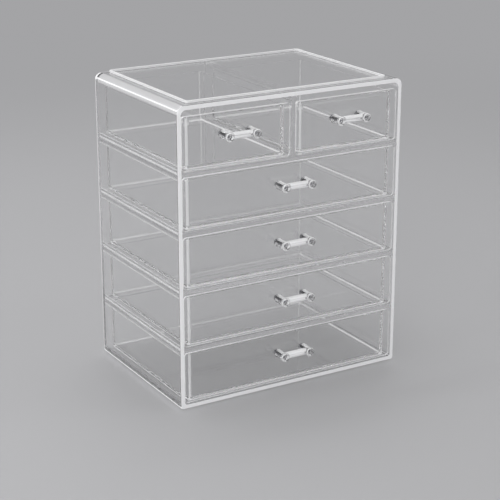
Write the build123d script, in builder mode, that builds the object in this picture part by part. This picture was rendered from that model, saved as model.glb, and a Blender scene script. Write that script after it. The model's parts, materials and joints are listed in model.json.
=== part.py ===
"""Clear acrylic makeup organizer: a case with four shelves, a divider and six sliding drawers.

Millimetres, +Z up, the drawers open towards -Y. The origin is on the standing surface, in the
middle of the footprint with the pulls included.
"""
from build123d import *
import os

os.makedirs("parts", exist_ok=True)

# The case: outside sizes, wall thicknesses and corner radii
case_width = 240.0
case_depth = 167.0
side_wall = 4.0
back_wall = 4.0
bottom_plate = 4.0
top_plate = 4.0
top_corner_radius = 6.5
bottom_corner_radius = 2.5
top_inner_radius = 5.0
bottom_inner_radius = 3.0
front_edge_radius = 0.8
back_edge_radius = 1.5

# The thin film of cement or air left between two pieces that meet
joint_film = 0.06

# The pads that the case stands on
foot_height = 1.5
foot_diameter = 8.0
foot_from_side = 22.0
foot_from_front = 11.0

# The stack of cells: four shelves, one drawer height apart
full_tiers = 4
tier_pitch = 55.4
shelf_thickness = 4.0
top_cell_headroom = 5.0
rail_fillet = 3.0
rail_foot = 0.2
divider_thickness = 4.0
shelf_recess = 0.6

# The raised rim on the top that keys into whatever is stacked on it
rim_height = 2.0
rim_width = 2.2
rim_from_side = 13.0
rim_from_front = 7.0
rim_from_back = 3.0
rim_corner_radius = 4.0

# The drawers: front plate, tray behind it, and their running gaps
front_gap = 1.2
front_recess = 1.0
front_thickness = 3.0
front_corner_radius = 3.0
tray_inset = 4.5
tray_wall = 2.8
tray_floor = 3.0
tray_rim_drop = 2.0
tray_running_gap = 0.3
tray_back_gap = 2.0
tray_corner_radius = 3.2
tray_inner_radius = 2.2
tray_floor_radius = 2.0
tray_bottom_radius = 2.8

# The pulls: two round posts and a cross-bar
post_spacing = 28.0
post_length = 13.0
post_diameter = 9.0
post_waist = 8.0
post_edge_radius = 1.0
bar_diameter = 6.5
bar_standoff = 8.0
handle_rise = 4.0

# The screws that hold each pull, driven from inside the tray
screw_diameter = 3.0
screw_length = 14.0
screw_clearance = 0.2
screw_grip_clearance = 0.1
screw_head_diameter = 5.6
screw_head_height = 1.8
screw_head_dome = 0.7
recess_width = 0.8
recess_length = 3.0
recess_depth = 0.9

# Places that follow from the sizes above
handle_reach = post_length + joint_film - front_recess
case_front = (handle_reach - case_depth) / 2
case_back = case_front + case_depth
inner_width = case_width - 2 * side_wall
floor_level = foot_height + bottom_plate
front_height = tier_pitch - shelf_thickness - 2 * front_gap
top_cell_floor = floor_level + full_tiers * tier_pitch
top_cell_ceiling = top_cell_floor + tier_pitch - shelf_thickness + top_cell_headroom
case_top = top_cell_ceiling + top_plate
cell_back = case_back - back_wall
half_cell = (inner_width - divider_thickness) / 2
front_face = case_front + front_recess
tray_front = front_face + front_thickness + joint_film
tray_back = cell_back - tray_back_gap
plate_back = cell_back - joint_film

# One row for each drawer: name, middle of its cell across the case, cell width, cell floor
side_middle = (half_cell + divider_thickness) / 2
drawers = [
    ("drawer_top_left", -side_middle, half_cell, top_cell_floor),
    ("drawer_top_right", side_middle, half_cell, top_cell_floor),
    ("drawer_second", 0.0, inner_width, floor_level + 3 * tier_pitch),
    ("drawer_third", 0.0, inner_width, floor_level + 2 * tier_pitch),
    ("drawer_fourth", 0.0, inner_width, floor_level + tier_pitch),
    ("drawer_bottom", 0.0, inner_width, floor_level),
]


def facing_front(y):
    """An upright plane at this depth, whose sketches have X across and Y up the case."""
    return Plane.XZ.offset(-y)


# The case shell: one sleeve with a closed back, open towards the drawers
with BuildPart() as case_shell:
    with BuildSketch(facing_front(case_back)) as outside:
        with Locations((0, foot_height)):
            Rectangle(case_width, case_top - foot_height, align=(Align.CENTER, Align.MIN))
        fillet(outside.vertices().group_by(Axis.Y)[-1], top_corner_radius)
        fillet(outside.vertices().group_by(Axis.Y)[0], bottom_corner_radius)
    extrude(amount=case_depth)
    outer_front = case_shell.faces().sort_by(Axis.Y)[0].edges()
    fillet(outer_front, front_edge_radius)
    fillet(case_shell.faces().sort_by(Axis.Y)[-1].edges(), back_edge_radius)
    with BuildSketch(facing_front(cell_back)) as hollow:
        with Locations((0, floor_level)):
            Rectangle(inner_width, top_cell_ceiling - floor_level, align=(Align.CENTER, Align.MIN))
        fillet(hollow.vertices().group_by(Axis.Y)[-1], top_inner_radius)
        fillet(hollow.vertices().group_by(Axis.Y)[0], bottom_inner_radius)
    extrude(amount=case_depth, mode=Mode.SUBTRACT)
    with BuildSketch(Plane.XY.offset(case_top)) as rim:
        rim_middle = (case_front + rim_from_front + case_back - rim_from_back) / 2
        rim_length = case_depth - rim_from_front - rim_from_back
        with Locations((0, rim_middle)):
            RectangleRounded(case_width - 2 * rim_from_side, rim_length, rim_corner_radius)
            RectangleRounded(
                case_width - 2 * (rim_from_side + rim_width),
                rim_length - 2 * rim_width,
                rim_corner_radius - rim_width,
                mode=Mode.SUBTRACT,
            )
    extrude(amount=rim_height)
case_shell.part.label = "case_shell"
export_step(case_shell.part, "parts/case_shell.step")

# The shelves: plates with a filleted rail where each end meets a side wall
shelf_depth = plate_back - case_front - shelf_recess
shelf_width = inner_width - 2 * joint_film
for level in range(1, full_tiers + 1):
    shelf_top = floor_level + level * tier_pitch
    with BuildPart() as shelf:
        with BuildSketch(facing_front(plate_back)) as profile:
            with Locations((0, shelf_top - shelf_thickness / 2)):
                Rectangle(shelf_width, shelf_thickness)
                rail_height = shelf_thickness + 2 * (rail_fillet + rail_foot)
                rail_middle = (shelf_width - rail_foot) / 2
                with Locations((-rail_middle, 0), (rail_middle, 0)):
                    Rectangle(rail_foot, rail_height)
            inner_corners = profile.vertices().filter_by(
                lambda v: abs(abs(v.X) - (shelf_width / 2 - rail_foot)) < 0.01
                and abs(abs(v.Y - shelf_top + shelf_thickness / 2) - shelf_thickness / 2) < 0.01
            )
            fillet(inner_corners, rail_fillet)
        extrude(amount=shelf_depth)
    shelf.part.label = f"shelf_{level}"
    export_step(shelf.part, f"parts/shelf_{level}.step")

# The divider: an upright plate between the top plate and the highest shelf
with BuildPart() as top_divider:
    with BuildSketch(facing_front(plate_back)) as profile:
        divider_height = top_cell_ceiling - top_cell_floor - 2 * joint_film
        with Locations((0, (top_cell_floor + top_cell_ceiling) / 2)):
            Rectangle(divider_thickness, divider_height)
            foot_middle = (divider_height - rail_foot) / 2
            with Locations((0, -foot_middle), (0, foot_middle)):
                Rectangle(divider_thickness + 2 * (rail_fillet + rail_foot), rail_foot)
        inner_corners = profile.vertices().filter_by(
            lambda v: abs(abs(v.X) - divider_thickness / 2) < 0.01
        )
        fillet(inner_corners, rail_fillet)
    extrude(amount=shelf_depth)
top_divider.part.label = "top_divider"
export_step(top_divider.part, "parts/top_divider.step")

# The pads: four discs under the corners of the case
foot_x = case_width / 2 - foot_from_side
foot_y = case_depth / 2 - foot_from_front
case_middle = (case_front + case_back) / 2
with BuildPart() as feet:
    with BuildSketch(Plane.XY) as pads:
        with Locations((0, case_middle)):
            with GridLocations(2 * foot_x, 2 * foot_y, 2, 2):
                Circle(foot_diameter / 2)
    extrude(amount=foot_height - joint_film)
feet.part.label = "feet"
export_step(feet.part, "parts/feet.step")


def make_drawer(name, middle, cell_width, cell_floor):
    """Write the four pieces of one drawer: its front, tray, pull and screws."""
    front_width = cell_width - 2 * front_gap
    front_bottom = cell_floor + front_gap
    tray_width = front_width - 2 * tray_inset
    tray_bottom = cell_floor + tray_running_gap
    tray_top = front_bottom + front_height - tray_rim_drop
    handle_z = front_bottom + front_height / 2 + handle_rise
    posts = [(middle - post_spacing / 2, handle_z), (middle + post_spacing / 2, handle_z)]
    hole_radius = (screw_diameter + screw_clearance) / 2

    with BuildPart() as front:
        with BuildSketch(facing_front(front_face + front_thickness)):
            with Locations((middle, front_bottom + front_height / 2)):
                RectangleRounded(front_width, front_height, front_corner_radius)
            with Locations(*posts):
                Circle(hole_radius, mode=Mode.SUBTRACT)
        extrude(amount=front_thickness)
    front.part.label = f"{name}_front"
    export_step(front.part, f"parts/{name}_front.step")

    tray_length = tray_back - tray_front
    with BuildPart() as tray:
        with BuildSketch(Plane.XY.offset(tray_bottom)):
            with Locations((middle, (tray_front + tray_back) / 2)):
                RectangleRounded(tray_width, tray_length, tray_corner_radius)
        extrude(amount=tray_top - tray_bottom)
        fillet(tray.faces().sort_by(Axis.Z)[0].edges(), tray_bottom_radius)
        with BuildSketch(Plane.XY.offset(tray_bottom + tray_floor)):
            with Locations((middle, (tray_front + tray_back) / 2)):
                RectangleRounded(
                    tray_width - 2 * tray_wall, tray_length - 2 * tray_wall, tray_inner_radius
                )
        extrude(amount=tray_top - tray_bottom, mode=Mode.SUBTRACT)
        floor_corner = tray.edges().filter_by_position(
            Axis.Z, tray_bottom + tray_floor - 0.01, tray_bottom + tray_floor + 0.01
        )
        fillet(floor_corner, tray_floor_radius)
        with BuildSketch(facing_front(tray_front + tray_wall)):
            with Locations(*posts):
                Circle(hole_radius)
        extrude(amount=tray_wall, mode=Mode.SUBTRACT)
    tray.part.label = f"{name}_tray"
    export_step(tray.part, f"parts/{name}_tray.step")

    post_base = front_face - joint_film
    with BuildPart() as handle:
        for post_x, post_z in posts:
            with BuildSketch(Plane((post_x, post_base, post_z), x_dir=(1, 0, 0), z_dir=(0, 0, 1))):
                with BuildLine():
                    half = post_diameter / 2
                    flat = half - post_edge_radius
                    tip = -post_length
                    base_edge = Line((0, 0), (half, 0))
                    waist = ThreePointArc(
                        (half, 0), (post_waist / 2, tip / 2), (half, tip + post_edge_radius)
                    )
                    nose = RadiusArc(waist @ 1, (flat, tip), -post_edge_radius)
                    Polyline(nose @ 1, (0, tip), (0, 0))
                make_face()
            revolve(axis=Axis((post_x, post_base, post_z), (0, 1, 0)))
        with BuildSketch(Plane.YZ.offset(middle - post_spacing / 2)):
            with Locations((post_base - bar_standoff, handle_z)):
                Circle(bar_diameter / 2)
        extrude(amount=post_spacing)
        with BuildSketch(facing_front(post_base)):
            with Locations(*posts):
                Circle((screw_diameter + screw_grip_clearance) / 2)
        grip_depth = screw_length - tray_wall - front_thickness + screw_clearance
        extrude(amount=grip_depth, mode=Mode.SUBTRACT)
    handle.part.label = f"{name}_handle"
    export_step(handle.part, f"parts/{name}_handle.step")

    head_seat = tray_front + tray_wall + joint_film
    with BuildPart() as screws:
        with BuildSketch(facing_front(head_seat)):
            with Locations(*posts):
                Circle(screw_diameter / 2)
        extrude(amount=screw_length)
        with BuildSketch(facing_front(head_seat + screw_head_height)):
            with Locations(*posts):
                Circle(screw_head_diameter / 2)
        extrude(amount=screw_head_height)
        head_rims = screws.edges().group_by(Axis.Y)[-1]
        fillet(head_rims, screw_head_dome)
        with BuildSketch(facing_front(head_seat + screw_head_height)):
            with Locations(*posts):
                Rectangle(recess_length, recess_width)
                Rectangle(recess_width, recess_length)
        extrude(amount=recess_depth, mode=Mode.SUBTRACT)
    screws.part.label = f"{name}_screws"
    export_step(screws.part, f"parts/{name}_screws.step")


for drawer_name, drawer_middle, drawer_cell_width, drawer_cell_floor in drawers:
    make_drawer(drawer_name, drawer_middle, drawer_cell_width, drawer_cell_floor)

print("case front and back", case_front, case_back, "top", case_top + rim_height)
print("drawer front height", front_height, "tray depth", tray_back - tray_front)
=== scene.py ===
# %% [markdown]
# A clear acrylic makeup organizer: a moulded case, four shelves, a divider and six drawers.
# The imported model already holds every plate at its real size, so most of this lesson is about
# looks: how clear plastic shows its edges, and how the small steel screws and soft pads are made.

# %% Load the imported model
import json
import math

import bpy
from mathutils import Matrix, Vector


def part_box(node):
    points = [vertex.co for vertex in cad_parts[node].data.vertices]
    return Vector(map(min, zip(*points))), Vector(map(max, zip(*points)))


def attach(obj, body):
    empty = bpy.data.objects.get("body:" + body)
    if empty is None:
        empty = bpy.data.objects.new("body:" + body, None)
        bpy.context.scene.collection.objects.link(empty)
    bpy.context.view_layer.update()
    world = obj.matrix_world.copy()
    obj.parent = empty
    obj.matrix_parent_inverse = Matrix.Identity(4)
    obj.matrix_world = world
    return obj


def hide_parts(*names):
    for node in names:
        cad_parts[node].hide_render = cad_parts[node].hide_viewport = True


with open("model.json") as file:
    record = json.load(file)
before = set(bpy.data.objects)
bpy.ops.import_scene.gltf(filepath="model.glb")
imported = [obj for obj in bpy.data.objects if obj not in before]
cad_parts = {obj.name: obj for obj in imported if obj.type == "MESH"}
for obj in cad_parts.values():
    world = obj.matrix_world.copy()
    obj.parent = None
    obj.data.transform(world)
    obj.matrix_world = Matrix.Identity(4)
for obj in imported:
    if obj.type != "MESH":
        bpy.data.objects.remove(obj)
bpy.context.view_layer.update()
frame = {"nodes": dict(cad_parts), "record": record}
nodes = frame["nodes"]
scene = bpy.context.scene
MM = 0.001

# %% [markdown]
# The camera comes first, because every finish is judged through it. The photograph looks down
# on the organizer from its left, through a long lens. A camera is placed by the point it aims
# at, the two angles it looks along and its distance, which is easier to adjust than a location.

# %% Camera at the photograph's angle
VIEW_TURN = math.radians(-30.67)
VIEW_TILT = math.radians(18.6)
VIEW_DISTANCE = 1.427
AIM = Vector((-0.0049, -0.0077, 0.1175))
SENSOR = 36.0
LENS = 105.4

towards_camera = Vector((
    math.sin(VIEW_TURN) * math.cos(VIEW_TILT),
    -math.cos(VIEW_TURN) * math.cos(VIEW_TILT),
    math.sin(VIEW_TILT),
))
camera = bpy.data.objects.new("camera", bpy.data.cameras.new("camera"))
scene.collection.objects.link(camera)
camera.data.sensor_width = SENSOR
camera.data.lens = LENS
camera.location = AIM + towards_camera * VIEW_DISTANCE
camera.rotation_mode = "QUATERNION"
camera.rotation_quaternion = (-towards_camera).to_track_quat("-Z", "Y")
scene.camera = camera
print("camera at", [round(v, 3) for v in camera.location])

# %% [markdown]
# Clear plastic is all reflection and refraction, so a ray may cross dozens of faces before it
# leaves, and one caught inside a plate zigzags from end to end. Cycles stops a ray after a few
# bounces and paints black there, so the limits are raised.

# %% Bounces for many clear walls
CLEAR_WALLS = 100
ZIGZAGS = 100
scene.view_settings.view_transform = "Standard"
scene.cycles.max_bounces = CLEAR_WALLS + ZIGZAGS
scene.cycles.transmission_bounces = CLEAR_WALLS
scene.cycles.transparent_max_bounces = CLEAR_WALLS
scene.cycles.glossy_bounces = ZIGZAGS
print("rays may cross", CLEAR_WALLS, "faces and turn back inside", ZIGZAGS, "times")


# %% [markdown]
# Node trees are easier to read when one helper adds a node, sets its options and feeds its
# inputs. An input is fed by a socket of another node or by a plain value.

# %% Helper for shader and geometry nodes
def put(tree, kind, inputs=None, **options):
    """Add a node to a tree, set its options and feed its inputs by name or number."""
    node = tree.nodes.new(kind)
    for option, value in options.items():
        setattr(node, option, value)
    for key, value in (inputs or {}).items():
        if isinstance(value, bpy.types.NodeSocket):
            tree.links.new(value, node.inputs[key])
        else:
            node.inputs[key].default_value = value
    return node


def new_group(name, kind, inputs, outputs):
    """Start a node group whose sockets have names, types and starting values."""
    tree = bpy.data.node_groups.new(name, kind)
    for label, socket_type, value in inputs:
        socket = tree.interface.new_socket(label, in_out="INPUT", socket_type=socket_type)
        if value is not None:
            socket.default_value = value
    for label, socket_type in outputs:
        tree.interface.new_socket(label, in_out="OUTPUT", socket_type=socket_type)
    return tree, tree.nodes.new("NodeGroupInput"), tree.nodes.new("NodeGroupOutput")


FLOAT, VECTOR = "NodeSocketFloat", "NodeSocketVector"
MATERIAL, GEOMETRY = "NodeSocketMaterial", "NodeSocketGeometry"


def math_node(tree, operation, *values):
    """A Math node and its result."""
    node = put(tree, "ShaderNodeMath", dict(enumerate(values)), operation=operation)
    return node.outputs[0]


# %% [markdown]
# Moulded acrylic isn't optically flat. Its faces have a slow waviness of some tens of
# millimetres, and use leaves hairline rubs that catch the light. One shared group makes both
# from Object coordinates, so the pattern stays on the piece when a drawer slides.

# %% Shared group: waviness and hairlines of moulded acrylic
surface_group, given, result = new_group(
    "moulded_surface",
    "ShaderNodeTree",
    [("Vector", VECTOR, None), ("Wave size", FLOAT, 0.05), ("Wave height", FLOAT, 0.02 * MM),
     ("Polish", FLOAT, 0.0), ("Rubs", FLOAT, 0.06)],
    [("Roughness", FLOAT), ("Normal", VECTOR)],
)
wave_scale = math_node(surface_group, "DIVIDE", 1.0, given.outputs["Wave size"])
waves = put(surface_group, "ShaderNodeTexNoise",
            {"Vector": given.outputs["Vector"], "Scale": wave_scale, "Detail": 1.0})
bump = put(surface_group, "ShaderNodeBump",
           {"Height": waves.outputs[0],
            "Distance": given.outputs["Wave height"], "Strength": 1.0})
stretch = put(surface_group, "ShaderNodeMapping",
              {"Vector": given.outputs["Vector"], "Rotation": (0.3, 0.2, 0.5),
               "Scale": (900.0, 900.0, 40.0)})
hairs = put(surface_group, "ShaderNodeTexNoise",
            {"Vector": stretch.outputs[0], "Scale": 1.0, "Detail": 2.0})
patches = put(surface_group, "ShaderNodeTexNoise",
              {"Vector": given.outputs["Vector"], "Scale": 28.0, "Detail": 2.0})
hair_mask = put(surface_group, "ShaderNodeMapRange",
                {"Value": hairs.outputs[0], "From Min": 0.66, "From Max": 0.74})
patch_mask = put(surface_group, "ShaderNodeMapRange",
                 {"Value": patches.outputs[0], "From Min": 0.45, "From Max": 0.75})
rubbed = math_node(surface_group, "MULTIPLY", hair_mask.outputs[0], patch_mask.outputs[0])
rub_roughness = math_node(surface_group, "MULTIPLY_ADD", rubbed, given.outputs["Rubs"],
                          given.outputs["Polish"])
surface_group.links.new(rub_roughness, result.inputs["Roughness"])
surface_group.links.new(bump.outputs[0], result.inputs["Normal"])
print("moulded_surface has", len(surface_group.nodes), "nodes")

# %% [markdown]
# A clear plate gathers light inside and lets it out at its cut ends, which look white while
# its broad faces stay clear. That white glow is painted on here, as a rough white paint mixed in.
# The ends lie in known places, so a mask needs only one coordinate: it is 1 up to a limit and fades to 0
# just past it.

# %% Shared group: the band where a plate ends
band_group, given, result = new_group(
    "end_band",
    "ShaderNodeTree",
    [("Coordinate", FLOAT, 0.0), ("Limit", FLOAT, 0.0), ("Fade", FLOAT, 0.2 * MM)],
    [("Mask", FLOAT)],
)
past_limit = math_node(band_group, "SUBTRACT", given.outputs["Coordinate"], given.outputs["Limit"])
faded = math_node(band_group, "DIVIDE", past_limit, given.outputs["Fade"])
mask = math_node(band_group, "SUBTRACT", 1.0, faded)
clamped = put(band_group, "ShaderNodeClamp", {"Value": mask})
band_group.links.new(clamped.outputs[0], result.inputs["Mask"])
print("end_band has", len(band_group.nodes), "nodes")


# %% [markdown]
# Every clear piece gets the same recipe with its own values: a glass Principled shader for the
# body, a rough white one that paints glow and highlights at the light-carrying ends, and plain
# Transparent for shadow rays, because refracted light would otherwise leave a black shadow.

# %% Recipe for clear acrylic
ACRYLIC_IOR = 1.49
# White paint that stands for the glow and highlights at a plate's ends: painted light.
PAINTED_GLOW_WHITE = (0.95, 0.95, 0.96, 1)
PAINTED_GLOW_ROUGHNESS = 0.35
SHADOW_TINT = (0.965, 0.965, 0.965, 1)


def place(tree, group, inputs):
    """Place a shared group in a material with its own values."""
    return put(tree, "ShaderNodeGroup", inputs, node_tree=group)


def clear_acrylic(name, tint, glow_mask, glow=0.6, wave_size=0.06, wave_height=0.005 * MM, rubs=0.03):
    """A clear acrylic with painted white glow and highlights at its ends; glow_mask(tree, coordinates,
    outside) says where.
    """
    material = bpy.data.materials.new(name)
    material.use_nodes = True
    tree = material.node_tree
    glass = tree.nodes["Principled BSDF"]
    output = tree.nodes["Material Output"]
    coordinates = put(tree, "ShaderNodeTexCoord")
    outside = math_node(tree, "SUBTRACT", 1.0, put(tree, "ShaderNodeNewGeometry").outputs["Backfacing"])
    surface = place(tree, surface_group,
                    {"Vector": coordinates.outputs["Object"], "Wave size": wave_size,
                     "Wave height": wave_height, "Rubs": rubs})
    glass.inputs["Base Color"].default_value = (*tint, 1)
    glass.inputs["Transmission Weight"].default_value = 1.0
    glass.inputs["IOR"].default_value = ACRYLIC_IOR
    tree.links.new(surface.outputs["Roughness"], glass.inputs["Roughness"])
    tree.links.new(surface.outputs["Normal"], glass.inputs["Normal"])
    seen = glass.outputs[0]
    if glow_mask is not None:
        # A rough white shader mixed in by the mask: painted glow and highlights.
        painted_glow_shader = put(tree, "ShaderNodeBsdfPrincipled",
                    {"Base Color": PAINTED_GLOW_WHITE, "Roughness": PAINTED_GLOW_ROUGHNESS, "IOR": ACRYLIC_IOR,
                     "Normal": surface.outputs["Normal"]})
        share = math_node(tree, "MULTIPLY", glow_mask(tree, coordinates, outside), glow)
        mixed = put(tree, "ShaderNodeMixShader", {0: share, 1: glass.outputs[0], 2: painted_glow_shader.outputs[0]})
        seen = mixed.outputs[0]
    path = put(tree, "ShaderNodeLightPath")
    let_through = put(tree, "ShaderNodeBsdfTransparent", {"Color": SHADOW_TINT})
    final = put(tree, "ShaderNodeMixShader",
                {0: path.outputs["Is Shadow Ray"], 1: seen, 2: let_through.outputs[0]})
    tree.links.new(final.outputs[0], output.inputs["Surface"])
    return material


# %% [markdown]
# Where do the plates end, and so where is the white glow painted? On the case it is the front: whatever
# faces forward within half a millimetre of the front plane. The raised rim on the top gets a painted
# white highlight line too. A drawer front is a plate that faces forward, so its ends are the faces that
# don't.
# A mask on each kind of piece finds such places from its coordinates and its normal. Many of
# them count only from outside the plastic: light that zigzags inside a plate meets the same
# place many times, and would draw it as a row of beads.

# %% Helpers for masks
def parts_of(tree, coordinates, kind):
    """The x, y and z of the Object position or of the Normal, and their sizes without sign."""
    split = put(tree, "ShaderNodeSeparateXYZ", {0: coordinates.outputs[kind]})
    return split.outputs, [math_node(tree, "ABSOLUTE", part) for part in split.outputs]


def below(tree, value, limit, fade=0.2 * MM):
    """1 where a value is below a limit, fading to 0 past it."""
    return place(tree, band_group, {"Coordinate": value, "Limit": limit, "Fade": fade}).outputs[0]


def above(tree, value, limit, fade=0.2 * MM):
    """1 where a value is above a limit, fading to 0 under it."""
    return below(tree, math_node(tree, "MULTIPLY", value, -1.0), -limit, fade)


def both(tree, first, second):
    """Where two masks meet."""
    return math_node(tree, "MULTIPLY", first, second)


def either(tree, first, second):
    """Where at least one of two masks is."""
    return math_node(tree, "MAXIMUM", first, second)


# %% [markdown]
# The shelves are cemented to the side walls. Where they meet, white lines are painted on as
# painted highlights, seen through the wall: one level with the shelf and one at each end of its rail.
# The shelves stand one tier apart, so a height is folded back into one tier with a modulo, and one mask
# serves them all.

# %% Masks of painted glow for the case, its shelves and the drawer fronts
case_low, case_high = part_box("case_shell")
shelf_low, shelf_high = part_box("shelf_1")
tray_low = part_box("drawer_bottom_tray")[0]
WALL = 4.0 * MM
SHELF = 4.0 * MM
RIM_HEIGHT = 2.0 * MM
INNER_RADIUS = 5.0 * MM
FRONT_BAND = 0.5 * MM
END_BAND = 2.8 * MM
CORNER_LINE = 3.0 * MM
CORNER_SKIN = 6.0 * MM
RIM_FOOT = 0.3 * MM
# Where the painted highlight lines on the shelves' end faces lie.
SHELF_HIGHLIGHT_DEPTH = 0.8 * MM
SHELF_HIGHLIGHT_HALF = 0.9 * MM
RAIL_HALF = 0.4 * MM
RAIL_INSET = 0.5 * MM
top_face = case_high[2] - RIM_HEIGHT
# Across a rounded top corner the sum of |x| and z grows from the inner face to the outer one
inner_corner_sum = (case_high[0] - WALL) + (top_face - WALL) - INNER_RADIUS
outer_corner_sum = inner_corner_sum + CORNER_SKIN
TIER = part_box("drawer_fourth_tray")[0][2] - tray_low[2]
shelf_top = (shelf_low[2] + shelf_high[2]) / 2 + SHELF / 2


def height_over(tree, height, level):
    """How far a height is over the nearest tier's level: what repeats stands one tier apart."""
    lowered = math_node(tree, "SUBTRACT", height, level - TIER / 2)
    in_tier = math_node(tree, "FLOORED_MODULO", lowered, TIER)
    return math_node(tree, "SUBTRACT", in_tier, TIER / 2)


def case_painted_glow(tree, coordinates, outside):
    """Painted glow and highlights: the front ends of the case's plates, the raised rim, and lines along the
    rounded corners.
    """
    place_xyz, from_middle = parts_of(tree, coordinates, "Object")
    _, facing = parts_of(tree, coordinates, "Normal")
    front = both(tree, below(tree, place_xyz[1], case_low[1] + FRONT_BAND),
                 above(tree, facing[1], 0.85, 0.1))
    bottom = both(tree, below(tree, place_xyz[2], case_low[2] + END_BAND),
                  below(tree, facing[2], 0.9, 0.05))
    back = both(tree, above(tree, place_xyz[1], case_high[1] - END_BAND),
                below(tree, facing[1], 0.96, 0.02))
    rim = above(tree, place_xyz[2], top_face + RIM_FOOT)
    ends = either(tree, either(tree, front, rim), either(tree, bottom, both(tree, back, 0.6)))

    corner_sum = math_node(tree, "ADD", from_middle[0], place_xyz[2])
    outer = above(tree, corner_sum, outer_corner_sum)
    inner = both(tree, above(tree, corner_sum, inner_corner_sum),
                 below(tree, corner_sum, inner_corner_sum + CORNER_LINE))
    sloping = both(tree, above(tree, facing[0], 0.2, 0.1), above(tree, facing[2], 0.2, 0.1))
    steep = both(tree, above(tree, facing[2], 0.3, 0.1), below(tree, facing[2], 0.45, 0.1))
    in_back_wall = above(tree, place_xyz[1], case_high[1] - WALL)
    from_outside = either(tree, ends, both(tree, outer, steep))
    back_corner = both(tree, outer, both(tree, sloping, in_back_wall))
    inner_line = both(tree, both(tree, inner, sloping), 0.45)
    return either(tree, both(tree, from_outside, outside), either(tree, back_corner, inner_line))


def shelf_painted_highlights(tree, coordinates, outside):
    """Three painted highlight lines on each end face: one level with the shelf, one at each end of the rail.
    """
    place_xyz, from_middle = parts_of(tree, coordinates, "Object")
    end_face = above(tree, from_middle[0], shelf_high[0] - 0.1 * MM, 0.05 * MM)

    def line_at(level, half_width):
        """A level line, the same on every tier."""
        off = math_node(tree, "ABSOLUTE", height_over(tree, place_xyz[2], level))
        return below(tree, off, half_width)

    rail_edges = either(tree, line_at(shelf_low[2] + RAIL_INSET, RAIL_HALF),
                        line_at(shelf_high[2] - RAIL_INSET, RAIL_HALF))
    shelf_highlight_line = line_at(shelf_top - SHELF_HIGHLIGHT_DEPTH, SHELF_HIGHLIGHT_HALF)
    lines = either(tree, shelf_highlight_line, both(tree, rail_edges, 0.8))
    return both(tree, both(tree, end_face, lines), outside)


def front_painted_glow(tree, coordinates, outside):
    """Painted glow on the narrow faces round a drawer front, which don't face forward."""
    _, facing = parts_of(tree, coordinates, "Normal")
    return below(tree, facing[1], 0.4, 0.3)


# %% [markdown]
# A tray is moulded, and white highlights are painted where its walls turn: at the upright
# corners, along the rounding under the walls and round the floor. All trays share one material, and their
# heights are folded back into one tier in the same way as the shelves'.

# %% Masks of painted highlights for the trays and the pulls
TRAY_ROUNDING = 2.8 * MM
TRAY_LINE = 1.2 * MM
TRAY_LINE_HALF = 0.5 * MM
TRAY_FLOOR = 3.0 * MM
FLOOR_EDGE_RISE = 1.0 * MM
FLOOR_EDGE_HALF = 0.9 * MM


def tray_painted_highlights(tree, coordinates, outside):
    """Painted highlights at the upright corners of each tray, the rounding under its walls and the edge of
    its floor.
    """
    place_xyz, _ = parts_of(tree, coordinates, "Object")
    _, facing = parts_of(tree, coordinates, "Normal")
    height = height_over(tree, place_xyz[2], tray_low[2])
    off_line = math_node(tree, "ABSOLUTE", math_node(tree, "SUBTRACT", height, TRAY_LINE))
    line = below(tree, off_line, TRAY_LINE_HALF, 0.4 * MM)
    low_part = both(tree, below(tree, math_node(tree, "ABSOLUTE", height), TRAY_ROUNDING), outside)
    rounding = both(tree, either(tree, line, low_part), below(tree, facing[2], 0.85, 0.1))
    over_floor = math_node(tree, "SUBTRACT", height, TRAY_FLOOR + FLOOR_EDGE_RISE)
    off_floor = math_node(tree, "ABSOLUTE", over_floor)
    sloping = both(tree, above(tree, facing[2], 0.3, 0.1), below(tree, facing[2], 0.9, 0.05))
    floor_edge = both(tree, below(tree, off_floor, FLOOR_EDGE_HALF), sloping)
    corner = above(tree, both(tree, facing[0], facing[1]), 0.47, 0.03)
    return either(tree, rounding, both(tree, either(tree, corner, floor_edge), 0.6))


def pull_painted_highlights(tree, coordinates, outside):
    """Painted highlights: the rim of each post's face, and the lines along the top and bottom of the bar."""
    _, facing = parts_of(tree, coordinates, "Normal")
    rim = both(tree, above(tree, facing[1], 0.3, 0.1), below(tree, facing[1], 0.93, 0.04))
    return either(tree, rim, above(tree, facing[2], 0.95, 0.04))


CLEAR = (1.0, 1.0, 1.0)
case_clear = clear_acrylic("case_acrylic", CLEAR, case_painted_glow, glow=0.88)
shelf_clear = clear_acrylic("shelf_acrylic", CLEAR, shelf_painted_highlights, glow=0.95)
front_clear = clear_acrylic("drawer_front_acrylic", CLEAR, front_painted_glow, glow=0.7)
tray_clear = clear_acrylic("drawer_tray_acrylic", CLEAR, tray_painted_highlights, glow=0.95)
pull_clear = clear_acrylic("pull_acrylic", CLEAR, pull_painted_highlights, glow=0.65, wave_size=0.01)
print("tiers", round(TIER / MM, 2), "mm apart")

# %% [markdown]
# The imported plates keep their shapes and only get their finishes, chosen by the ends of their
# names. The screws and pads are left out here, because the next steps make them anew.

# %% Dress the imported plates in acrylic
for node_name, piece in nodes.items():
    if node_name.endswith("_front"):
        piece.material_slots[0].material = front_clear
    elif node_name.endswith("_tray"):
        piece.material_slots[0].material = tray_clear
    elif node_name.endswith("_handle"):
        piece.material_slots[0].material = pull_clear
    elif node_name == "case_shell":
        piece.material_slots[0].material = case_clear
    elif node_name.startswith("shelf_") or node_name == "top_divider":
        piece.material_slots[0].material = shelf_clear

# %% [markdown]
# The screws are bright plated steel. Turning leaves fine rings round the axis, which a
# stretched noise imitates, and the plating is a little uneven, so the roughness varies.

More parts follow.
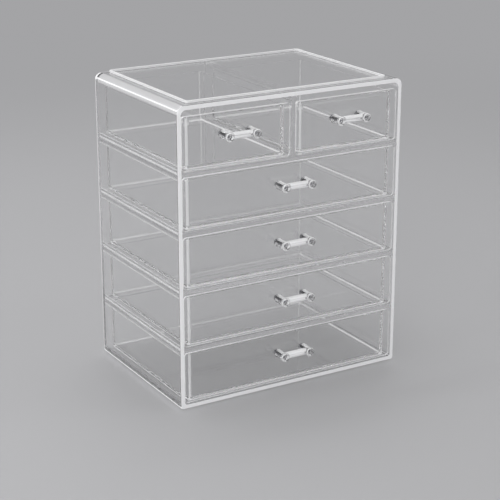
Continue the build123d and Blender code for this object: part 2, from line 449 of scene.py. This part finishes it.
# %% Plated steel and clear soft pads
steel = bpy.data.materials.new("plated_steel")
steel.use_nodes = True
tree = steel.node_tree
shader = tree.nodes["Principled BSDF"]
coordinates = put(tree, "ShaderNodeTexCoord")
rings = put(tree, "ShaderNodeMapping",
            {"Vector": coordinates.outputs["Object"], "Scale": (300.0, 9000.0, 300.0)})
grain = put(tree, "ShaderNodeTexNoise", {"Vector": rings.outputs[0], "Scale": 1.0, "Detail": 3.0})
uneven = put(tree, "ShaderNodeMapRange", {"Value": grain.outputs[0], "To Min": 0.16, "To Max": 0.34})
tree.links.new(uneven.outputs[0], shader.inputs["Roughness"])
shader.inputs["Metallic"].default_value = 1.0
shader.inputs["Base Color"].default_value = (0.4, 0.4, 0.42, 1)

PAD_TINT = (0.94, 0.94, 0.94)
pad_clear = clear_acrylic("pad_clear", PAD_TINT, None, wave_size=0.004, wave_height=0.05 * MM, rubs=0.3)

# %% [markdown]
# Twelve screws and four pads repeat, so Geometry Nodes make them. A screw is a core with a
# helical ridge swept along a spiral, and a head whose cap is raised to a dome by a formula.
# The cross recess is cut with a Boolean. Named inputs hold every size.

# %% Geometry Nodes: a pair of threaded screws
screw_tree, given, result = new_group(
    "pull_screws", "GeometryNodeTree",
    [("Thread diameter", FLOAT, 3 * MM), ("Thread pitch", FLOAT, 0.5 * MM), ("Shank length", FLOAT, 14 * MM),
     ("Head diameter", FLOAT, 5.6 * MM), ("Head height", FLOAT, 1.8 * MM), ("Dome", FLOAT, 0.5 * MM),
     ("Recess length", FLOAT, 3 * MM), ("Recess width", FLOAT, 0.8 * MM), ("Recess depth", FLOAT, 0.9 * MM),
     ("Spacing", FLOAT, 28 * MM), ("Seat", VECTOR, None), ("Material", MATERIAL, None)],
    [("Geometry", GEOMETRY)],
)


def gmath(operation, *values):
    """A Math node inside the screw tree."""
    return math_node(screw_tree, operation, *values)


def vector_of(tree, x=0.0, y=0.0, z=0.0):
    """A vector put together from three values."""
    return put(tree, "ShaderNodeCombineXYZ", {0: x, 1: y, 2: z}).outputs[0]


size = given.outputs
ridge = gmath("MULTIPLY", size["Thread pitch"], 0.5)
radius = gmath("MULTIPLY", size["Thread diameter"], 0.5)
core_radius = gmath("SUBTRACT", radius, gmath("MULTIPLY", size["Thread pitch"], 0.45))
shank = put(screw_tree, "GeometryNodeMeshCylinder",
            {"Vertices": 24, "Radius": core_radius, "Depth": size["Shank length"]})
half_shank = gmath("MULTIPLY", size["Shank length"], -0.5)
shank_placed = put(screw_tree, "GeometryNodeTransform",
                   {"Geometry": shank.outputs["Mesh"], "Translation": vector_of(screw_tree, z=half_shank)})
spiral_radius = gmath("SUBTRACT", radius, gmath("MULTIPLY", ridge, 0.85))
thread_length = gmath("SUBTRACT", size["Shank length"], size["Thread pitch"])
spiral = put(screw_tree, "GeometryNodeCurveSpiral",
             {"Resolution": 20, "Rotations": gmath("DIVIDE", thread_length, size["Thread pitch"]),
              "Start Radius": spiral_radius, "End Radius": spiral_radius,
              "Height": gmath("MULTIPLY", thread_length, -1.0)})
section = put(screw_tree, "GeometryNodeCurvePrimitiveCircle", {"Resolution": 3, "Radius": ridge})
thread = put(screw_tree, "GeometryNodeCurveToMesh",
             {"Curve": spiral.outputs[0], "Profile Curve": section.outputs[0], "Fill Caps": True})
thread_placed = put(screw_tree, "GeometryNodeTransform",
                    {"Geometry": thread.outputs[0],
                     "Translation": vector_of(screw_tree, z=gmath("MULTIPLY", size["Thread pitch"], -0.5))})

flat_height = gmath("SUBTRACT", size["Head height"], size["Dome"])
head_radius = gmath("MULTIPLY", size["Head diameter"], 0.5)
head = put(screw_tree, "GeometryNodeMeshCylinder",
           {"Vertices": 40, "Side Segments": 3, "Fill Segments": 6,
            "Radius": head_radius, "Depth": flat_height})
head_up = put(screw_tree, "GeometryNodeTransform",
              {"Geometry": head.outputs["Mesh"],
               "Translation": vector_of(screw_tree, z=gmath("MULTIPLY", flat_height, 0.5))})
place_now = put(screw_tree, "GeometryNodeInputPosition")
parts = put(screw_tree, "ShaderNodeSeparateXYZ", {0: place_now.outputs[0]})
from_axis = gmath("POWER", gmath("ADD", gmath("POWER", parts.outputs[0], 2.0),
                                 gmath("POWER", parts.outputs[1], 2.0)), 0.5)
share = gmath("DIVIDE", from_axis, head_radius)
rise = gmath("MULTIPLY", size["Dome"], gmath("SUBTRACT", 1.0, gmath("POWER", share, 2.0)))
on_cap = put(screw_tree, "FunctionNodeCompare",
             {0: parts.outputs[2], 1: gmath("MULTIPLY", flat_height, 0.99)},
             data_type="FLOAT", operation="GREATER_THAN")
domed = put(screw_tree, "GeometryNodeSetPosition",
            {"Geometry": head_up.outputs[0], "Selection": on_cap.outputs[0],
             "Offset": vector_of(screw_tree, z=rise)})
recess_z = gmath("SUBTRACT", size["Head height"], gmath("MULTIPLY", size["Recess depth"], 0.5))
cutters = []
for length, width in (("Recess length", "Recess width"), ("Recess width", "Recess length")):
    bar = put(screw_tree, "GeometryNodeMeshCube",
              {"Size": vector_of(screw_tree, size[length], size[width],
                                 gmath("MULTIPLY", size["Recess depth"], 1.2))})
    cutters.append(put(screw_tree, "GeometryNodeTransform",
                       {"Geometry": bar.outputs["Mesh"], "Translation": vector_of(screw_tree, z=recess_z)}))
cut = put(screw_tree, "GeometryNodeMeshBoolean", {"Mesh 1": domed.outputs[0]}, operation="DIFFERENCE")
for cutter in cutters:
    screw_tree.links.new(cutter.outputs[0], cut.inputs["Mesh 2"])
one_screw = put(screw_tree, "GeometryNodeJoinGeometry")
for piece in (shank_placed.outputs[0], thread_placed.outputs[0], cut.outputs["Mesh"]):
    screw_tree.links.new(piece, one_screw.inputs[0])
turned = put(screw_tree, "GeometryNodeTransform",
             {"Geometry": one_screw.outputs[0], "Rotation": (-math.pi / 2, 0, 0)})
row = put(screw_tree, "GeometryNodeMeshLine",
          {"Count": 2, "Start Location": vector_of(screw_tree, x=gmath("MULTIPLY", size["Spacing"], -0.5)),
           "Offset": vector_of(screw_tree, x=size["Spacing"])})
copies = put(screw_tree, "GeometryNodeInstanceOnPoints",
             {"Points": row.outputs[0], "Instance": turned.outputs[0]})
at_seat = put(screw_tree, "GeometryNodeTransform",
              {"Geometry": copies.outputs[0], "Translation": size["Seat"]})
real = put(screw_tree, "GeometryNodeRealizeInstances", {"Geometry": at_seat.outputs[0]})
finish = put(screw_tree, "GeometryNodeSetMaterial",
             {"Geometry": real.outputs[0], "Material": size["Material"]})
screw_tree.links.new(finish.outputs[0], result.inputs[0])
print("pull_screws has", len(screw_tree.nodes), "nodes")


# %% [markdown]
# A modifier shows its tree's result but the other tools need a plain mesh. So the tree is given
# its values by the sockets' identifiers, evaluated once, and its mesh is kept without it.

# %% Helper: settle a tree into a plain mesh
def settle(name, tree, values, smooth_below=35):
    """Run a Geometry Nodes tree with these values and return an object with the plain mesh."""
    piece = bpy.data.objects.new(name, bpy.data.meshes.new(f"{name}_empty"))
    scene.collection.objects.link(piece)
    modifier = piece.modifiers.new("maker", "NODES")
    modifier.node_group = tree
    for item in tree.interface.items_tree:
        if item.item_type == "SOCKET" and item.in_out == "INPUT" and item.name in values:
            modifier[item.identifier] = values[item.name]
    graph = bpy.context.evaluated_depsgraph_get()
    mesh = bpy.data.meshes.new_from_object(piece.evaluated_get(graph), depsgraph=graph)
    piece.modifiers.remove(modifier)
    mesh.name = name
    piece.data = mesh
    mesh.polygons.foreach_set("use_smooth", [True] * len(mesh.polygons))
    mesh.set_sharp_from_angle(angle=math.radians(smooth_below))
    return piece


# %% [markdown]
# Each drawer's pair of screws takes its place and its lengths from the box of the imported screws,
# so it fits the posts and the tray wall. It rides with its drawer.

# %% Screws for each drawer
THREAD, HEAD, HEAD_HEIGHT = 3.0 * MM, 5.6 * MM, 1.8 * MM
faces = 0
for body in frame["record"]["behaviour"]["bodies"]:
    if not body.startswith("drawer_"):
        continue
    low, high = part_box(f"{body}_screws")
    seat = Vector(((low[0] + high[0]) / 2, high[1] - HEAD_HEIGHT, (low[2] + high[2]) / 2))
    pair = settle(f"{body}_threaded_screws", screw_tree, {
        "Thread diameter": THREAD,
        "Head diameter": HEAD,
        "Head height": HEAD_HEIGHT,
        "Shank length": seat.y - low[1],
        "Spacing": high[0] - low[0] - HEAD,
        "Seat": seat,
        "Material": steel,
    })
    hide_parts(f"{body}_screws")
    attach(pair, body)
    faces += len(pair.data.polygons)
print("screw faces", faces)

# %% [markdown]
# The pads are clear soft discs whose sides bulge a little under the load. A cylinder with a
# few rings is widened at mid height by a formula, and a grid of four points carries the copies.

# %% Geometry Nodes: four soft pads
pad_tree, given, result = new_group(
    "soft_pads", "GeometryNodeTree",
    [("Diameter", FLOAT, 8 * MM), ("Height", FLOAT, 1.44 * MM), ("Bulge", FLOAT, 0.3 * MM),
     ("Span across", FLOAT, 0.19), ("Span deep", FLOAT, 0.14), ("Centre", VECTOR, None),
     ("Material", MATERIAL, None)],
    [("Geometry", GEOMETRY)],
)
size = given.outputs
pad_radius = math_node(pad_tree, "MULTIPLY", size["Diameter"], 0.5)
foot_radius = math_node(pad_tree, "SUBTRACT", pad_radius, size["Bulge"])
disc = put(pad_tree, "GeometryNodeMeshCylinder",
           {"Vertices": 48, "Side Segments": 8, "Fill Segments": 2,
            "Radius": foot_radius, "Depth": size["Height"]})
spot = put(pad_tree, "ShaderNodeSeparateXYZ", {0: put(pad_tree, "GeometryNodeInputPosition").outputs[0]})
doubled = math_node(pad_tree, "MULTIPLY", spot.outputs[2], 2.0)
height_share = math_node(pad_tree, "ABSOLUTE", math_node(pad_tree, "DIVIDE", doubled, size["Height"]))
fullness = math_node(pad_tree, "SUBTRACT", 1.0, math_node(pad_tree, "POWER", height_share, 2.0))
widest = math_node(pad_tree, "MULTIPLY", fullness, size["Bulge"])
widening = math_node(pad_tree, "DIVIDE", widest, foot_radius)
swell = vector_of(pad_tree, math_node(pad_tree, "MULTIPLY", spot.outputs[0], widening),
                  math_node(pad_tree, "MULTIPLY", spot.outputs[1], widening))
bulged = put(pad_tree, "GeometryNodeSetPosition", {"Geometry": disc.outputs["Mesh"], "Offset": swell})
corners = put(pad_tree, "GeometryNodeMeshGrid",
              {"Size X": size["Span across"], "Size Y": size["Span deep"],
               "Vertices X": 2, "Vertices Y": 2})
copies = put(pad_tree, "GeometryNodeInstanceOnPoints",
             {"Points": corners.outputs[0], "Instance": bulged.outputs[0]})
lifted = put(pad_tree, "GeometryNodeTransform",
             {"Geometry": copies.outputs[0], "Translation": size["Centre"]})
real = put(pad_tree, "GeometryNodeRealizeInstances", {"Geometry": lifted.outputs[0]})
finish = put(pad_tree, "GeometryNodeSetMaterial",
             {"Geometry": real.outputs[0], "Material": size["Material"]})
pad_tree.links.new(finish.outputs[0], result.inputs[0])

low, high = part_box("feet")
PAD = 8.0 * MM
pads = settle("soft_pads", pad_tree, {
    "Diameter": PAD,
    "Height": high[2] - low[2],
    "Span across": high[0] - low[0] - PAD,
    "Span deep": high[1] - low[1] - PAD,
    "Centre": Vector(((low[0] + high[0]) / 2, (low[1] + high[1]) / 2, (low[2] + high[2]) / 2)),
    "Material": pad_clear,
})
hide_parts("feet")
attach(pads, "case")
print("pads", [round(v / MM, 2) for v in pads.dimensions])

# %% [markdown]
# Clear plastic shows only what stands round it. The floor is one pale sweep that curves up far
# behind. Near the organizer it takes light and shadow as paint does. Further out the lamps fade,
# so there it shines as pale as the sky at the horizon, but only for rays that picture it.

# %% Pale floor
FLOOR_SIZE, BACKDROP_START, BACKDROP_RADIUS, BACKDROP_TOP = 6.0, 1.4, 1.0, 4.0
BACKDROP_STEPS = 15
FLOOR_GREY = (0.44, 0.44, 0.45)
HORIZON = (0.37, 0.37, 0.38)
NEAR, FAR = 0.6, 1.7
sweep = [(-FLOOR_SIZE, 0.0)]
for step in range(BACKDROP_STEPS + 1):
    angle = math.radians(90 * step / BACKDROP_STEPS)
    depth = BACKDROP_START + BACKDROP_RADIUS * math.sin(angle)
    sweep.append((depth, BACKDROP_RADIUS * (1 - math.cos(angle))))
sweep.append((BACKDROP_START + BACKDROP_RADIUS, BACKDROP_TOP))
points = [(x, y, z) for x in (-FLOOR_SIZE, FLOOR_SIZE) for y, z in sweep]
count = len(sweep)
floor_mesh = bpy.data.meshes.new("floor")
floor_mesh.from_pydata(points, [], [(i, i + 1, count + i + 1, count + i) for i in range(count - 1)])
floor_mesh.polygons.foreach_set("use_smooth", [True] * len(floor_mesh.polygons))
floor = bpy.data.objects.new("floor", floor_mesh)
scene.collection.objects.link(floor)
paint = bpy.data.materials.new("floor_paint")
paint.use_nodes = True
tree = paint.node_tree
shader = tree.nodes["Principled BSDF"]
shader.inputs["Base Color"].default_value = (*FLOOR_GREY, 1)
shader.inputs["Roughness"].default_value = 0.6
spot = put(tree, "ShaderNodeTexCoord").outputs["Object"]
away = put(tree, "ShaderNodeVectorMath", {0: spot}, operation="LENGTH")
far = put(tree, "ShaderNodeMapRange", {"Value": away.outputs["Value"], "From Min": NEAR, "From Max": FAR},
          interpolation_type="SMOOTHSTEP")
path = put(tree, "ShaderNodeLightPath").outputs
direct = either(tree, path["Is Camera Ray"], path["Is Glossy Ray"])
pictured = either(tree, direct, path["Is Transmission Ray"])
shine = put(tree, "ShaderNodeEmission", {"Color": (*HORIZON, 1)})
mixed = put(tree, "ShaderNodeMixShader",
            {0: both(tree, far.outputs[0], pictured), 1: shader.outputs[0], 2: shine.outputs[0]})
tree.links.new(mixed.outputs[0], tree.nodes["Material Output"].inputs["Surface"])
floor_mesh.materials.append(paint)


# %% [markdown]
# Soft boxes and a dim sky light the set. Four of them give the organizer an even level, and the
# last one lights only the backdrop. Clear faces don't mirror the four, because a bright rectangle
# would show again in every shelf and tray floor. The sky is pale near the horizon and dark
# overhead, and that darkness makes the thin dark lines by which clear plastic is read.

# %% Lamps and world
def soft_box(name, where, size, power, at=(0, 0, 0.14), mirrored=True):
    """A rectangular area lamp that points at the organizer; mirrored says if clear faces show it."""
    light = bpy.data.lights.new(name, "AREA")
    light.shape = "RECTANGLE"
    light.size, light.size_y = size
    light.energy = power
    lamp = bpy.data.objects.new(name, light)
    scene.collection.objects.link(lamp)
    lamp.location = where
    lamp.rotation_mode = "QUATERNION"
    lamp.rotation_quaternion = (Vector(at) - Vector(where)).to_track_quat("-Z", "Y")
    lamp.visible_camera = False
    lamp.visible_glossy = mirrored
    lamp.visible_transmission = mirrored
    return lamp


soft_box("key", (-1.9, -2.3, 1.7), (1.8, 1.8), 64, mirrored=False)
soft_box("fill", (2.2, -1.4, 1.0), (1.2, 1.8), 12, mirrored=False)
soft_box("side", (-2.2, 0.1, 0.7), (1.0, 1.4), 17, mirrored=False)
soft_box("top", (0.0, 0.5, 2.6), (2.4, 2.0), 35, mirrored=False)
soft_box("backdrop", (0.0, 0.9, 3.0), (3.0, 0.8), 15, at=(0, 2.6, 0.8))
world = bpy.data.worlds.new("world")
scene.world = world
world.use_nodes = True
OVERHEAD = (0.1, 0.1, 0.1)
sky = world.node_tree
upwards = put(sky, "ShaderNodeSeparateXYZ", {0: put(sky, "ShaderNodeTexCoord").outputs["Generated"]})
level = put(sky, "ShaderNodeMapRange", {"Value": upwards.outputs[2], "From Min": 0.1, "From Max": 0.6})
colour = put(sky, "ShaderNodeMix", {0: level.outputs[0], 6: (*HORIZON, 1), 7: (*OVERHEAD, 1)},
             data_type="RGBA")
sky.links.new(colour.outputs[2], sky.nodes["Background"].inputs["Color"])
